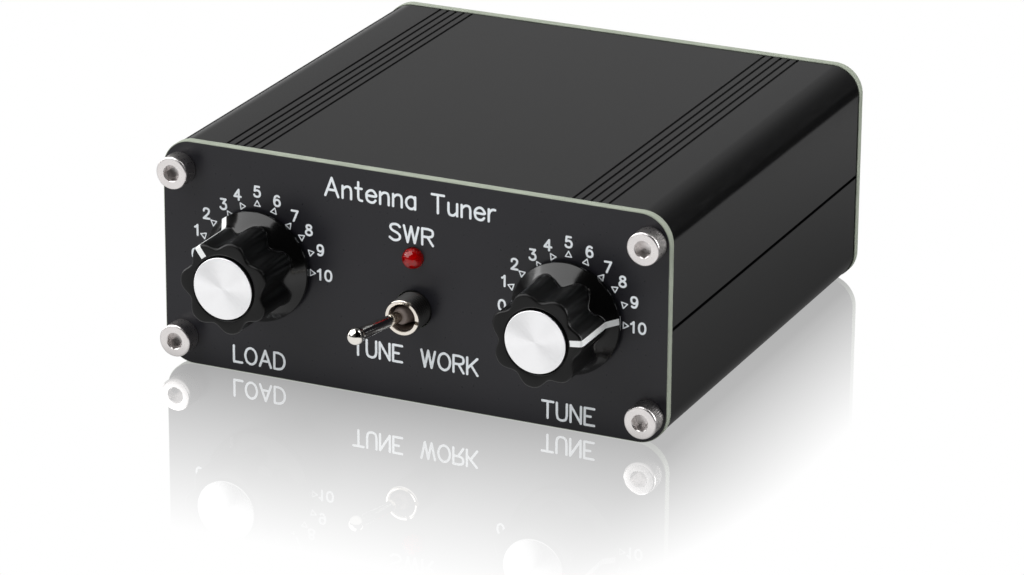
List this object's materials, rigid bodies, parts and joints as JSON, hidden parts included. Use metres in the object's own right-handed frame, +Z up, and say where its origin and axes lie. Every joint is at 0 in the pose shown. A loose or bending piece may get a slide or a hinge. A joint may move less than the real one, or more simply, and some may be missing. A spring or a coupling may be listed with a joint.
{
  "type": "antenna tuner",
  "caption": "Desktop antenna tuner in a split aluminium case with printed end panels, fluted pointer knobs, a toggle switch, a signal lamp and rear sockets.",
  "frame": {"origin": "under the middle of the case, on the surface it stands on; Y is centred between the lever's tip and the ends of the rear binding posts", "axes": "+X to the right as seen from the front, +Y from the front panel to the rear panel, +Z up"},
  "size_m": [0.088, 0.1148, 0.038],
  "materials": {
    "black_anodised": "satin black anodised extrusion",
    "black_solder_mask": "glass-fibre board, black solder mask, white print",
    "stainless_steel": "bright turned steel",
    "knob_plastic": "glossy moulded phenolic",
    "cap_aluminium": "spun brushed",
    "brass": "turned",
    "capacitor_plastic": "milky moulded polymer",
    "capacitor_plates": "rolled sheet",
    "lamp_red": "clear red epoxy",
    "tinned_wire": "tinned",
    "bright_nickel": "bright nickel plate",
    "switch_base": "moulded",
    "board_green": "green solder mask",
    "core_red": "painted iron powder",
    "ferrite": "sintered",
    "copper_wire": "enamelled copper",
    "resistor_body": "painted",
    "diode_glass": "glass",
    "insulator_white": "turned polymer",
    "gold_contact": "gold plated",
    "post_red": "moulded",
    "post_black": "moulded",
    "print_white": "screen-printed ink",
    "board_edge": "cut glass-fibre edge"
  },
  "bodies": {
    "case": {"antenna_socket_body": "bright_nickel", "antenna_socket_contact": "gold_contact", "antenna_socket_insulator": "insulator_white", "antenna_socket_nut": "bright_nickel", "black_post_collar": "post_black", "black_post_stud": "bright_nickel", "bridge_core": "ferrite", "bridge_diode": "diode_glass", "bridge_resistor_1": "resistor_body", "bridge_resistor_2": "resistor_body", "bridge_resistor_3": "resistor_body", "front_panel": "black_solder_mask", "front_screw_1": "stainless_steel", "front_screw_2": "stainless_steel", "front_screw_3": "stainless_steel", "front_screw_4": "stainless_steel", "lamp_lead_1": "tinned_wire", "lamp_lead_2": "tinned_wire", "load_capacitor_case": "capacitor_plastic", "load_capacitor_screw_1": "stainless_steel", "load_capacitor_screw_2": "stainless_steel", "load_capacitor_stator": "capacitor_plates", "lower_shell": "black_anodised", "main_board": "board_green", "radio_socket_body": "bright_nickel", "radio_socket_contact": "gold_contact", "radio_socket_insulator": "insulator_white", "radio_socket_nut": "bright_nickel", "rear_panel": "black_solder_mask", "rear_screw_1": "stainless_steel", "rear_screw_2": "stainless_steel", "rear_screw_3": "stainless_steel", "rear_screw_4": "stainless_steel", "red_post_collar": "post_red", "red_post_stud": "bright_nickel", "signal_lamp": "lamp_red", "switch_bushing": "bright_nickel", "switch_case": "switch_base", "switch_nut": "bright_nickel", "transformer_core": "core_red", "transformer_link_winding": "copper_wire", "transformer_main_winding": "copper_wire", "tune_capacitor_case": "capacitor_plastic", "tune_capacitor_screw_1": "stainless_steel", "tune_capacitor_screw_2": "stainless_steel", "tune_capacitor_stator": "capacitor_plates", "upper_shell": "black_anodised"},
    "load_control": {"load_knob": "knob_plastic", "load_knob_cap": "cap_aluminium", "load_knob_insert": "brass", "load_knob_grub_screw": "stainless_steel", "load_capacitor_rotor": "capacitor_plates"},
    "tune_control": {"tune_knob": "knob_plastic", "tune_knob_cap": "cap_aluminium", "tune_knob_insert": "brass", "tune_knob_grub_screw": "stainless_steel", "tune_capacitor_rotor": "capacitor_plates"},
    "lever": {"switch_lever": "bright_nickel"},
    "red_nut": {"red_post_nut": "post_red"},
    "black_nut": {"black_post_nut": "post_black"}
  },
  "joints": [
    {"name": "load_turn", "type": "hinge", "parent": "case", "child": "load_control", "pos_m": [-0.027, -0.0416, 0.019], "axis": [0, 1, 0], "range_deg": [-54, 126]},
    {"name": "tune_turn", "type": "hinge", "parent": "case", "child": "tune_control", "pos_m": [0.027, -0.0416, 0.019], "axis": [0, 1, 0], "range_deg": [-173.5, 6.5]},
    {"name": "lever_throw", "type": "hinge", "parent": "case", "child": "lever", "pos_m": [0.0004, -0.0423, 0.0158], "axis": [0, 0, 1], "range_deg": [0, 25]},
    {"name": "red_nut_slide", "type": "slide", "parent": "case", "child": "red_nut", "axis": [0, 1, 0], "range_m": [0, 0.004]},
    {"name": "black_nut_slide", "type": "slide", "parent": "case", "child": "black_nut", "axis": [0, 1, 0], "range_m": [0, 0.004]}
  ]
}
